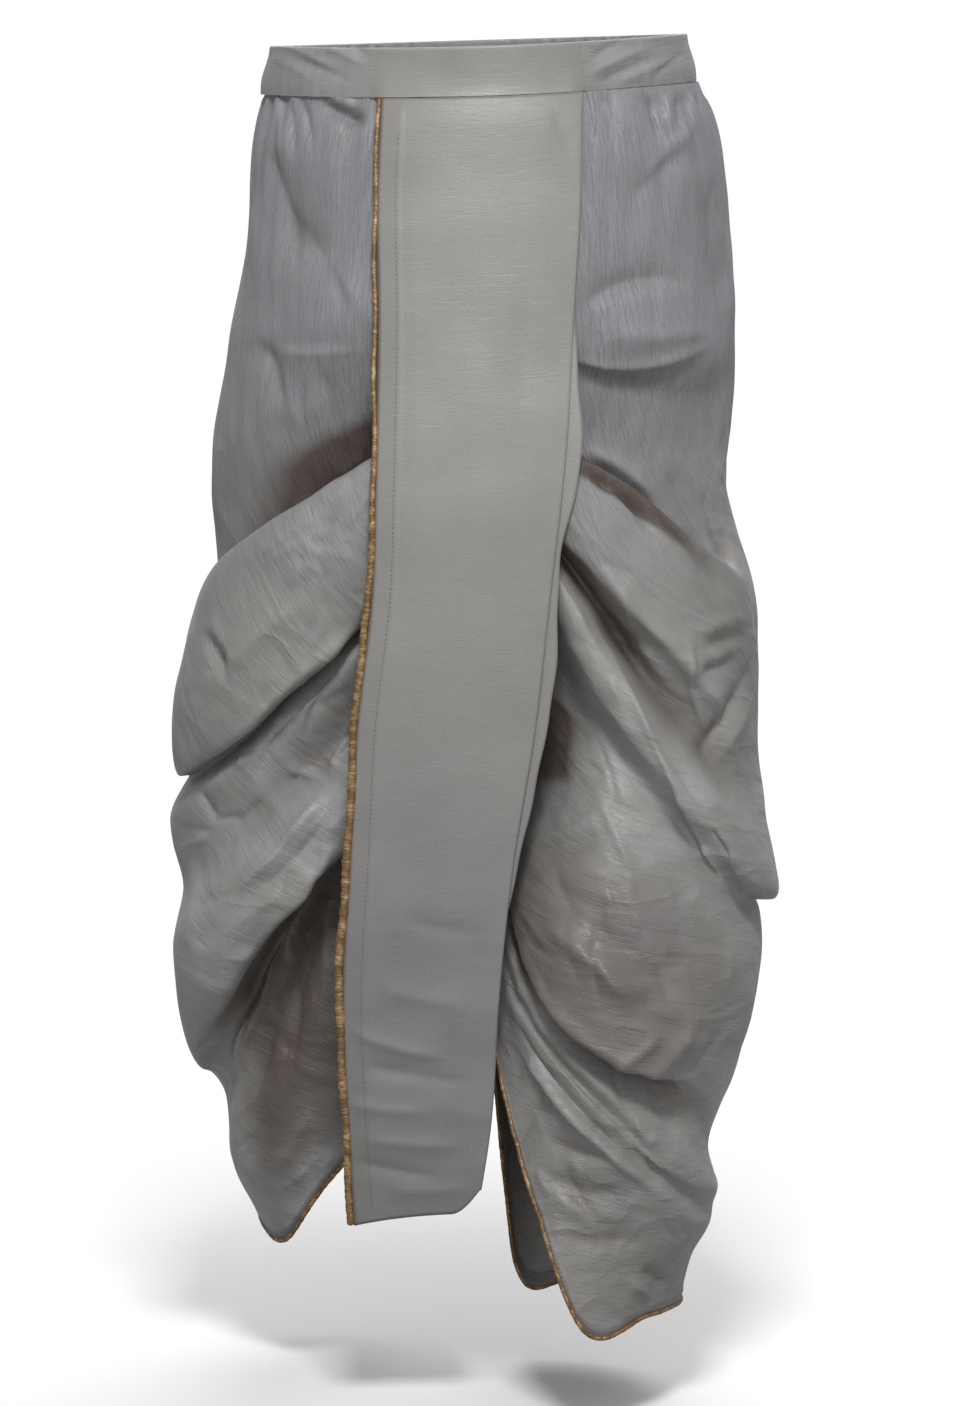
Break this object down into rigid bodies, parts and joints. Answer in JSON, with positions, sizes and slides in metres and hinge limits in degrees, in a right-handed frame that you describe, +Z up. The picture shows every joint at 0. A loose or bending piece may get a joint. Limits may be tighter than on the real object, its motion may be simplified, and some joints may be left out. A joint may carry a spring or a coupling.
{
  "type": "dhoti pants",
  "caption": "Men's ready-made draped dhoti trousers in slubbed grey silk-look cloth, with cowl folds, tulip hems, a long gold-piped back panel and a gathered waistband, shown as worn.",
  "frame": {"origin": "middle of the waist opening, level with the top edge of the waistband, where the wearer's waist holds the garment", "axes": "+Z up, -Y towards the wearer's back, which carries the long panel, +X towards the wearer's right"},
  "size_m": [0.4637, 0.381, 0.9712],
  "materials": {
    "band_silk": "soft satin sheen, gathered",
    "leg_silk": "crinkled and slubbed silk, soft satin sheen",
    "panel_silk": "smooth pressed silk with cross slubs, soft satin sheen",
    "gold_piping": "crinkled metallic gold cloth tape"
  },
  "bodies": {
    "root": {"waistband_back": "band_silk", "waistband_gathered": "band_silk", "left_leg": "leg_silk", "right_leg": "leg_silk", "back_panel": "panel_silk", "back_panel_underlay": "panel_silk", "back_panel_piping": "gold_piping", "left_hem_piping": "gold_piping", "right_hem_piping": "gold_piping"}
  },
  "joints": []
}
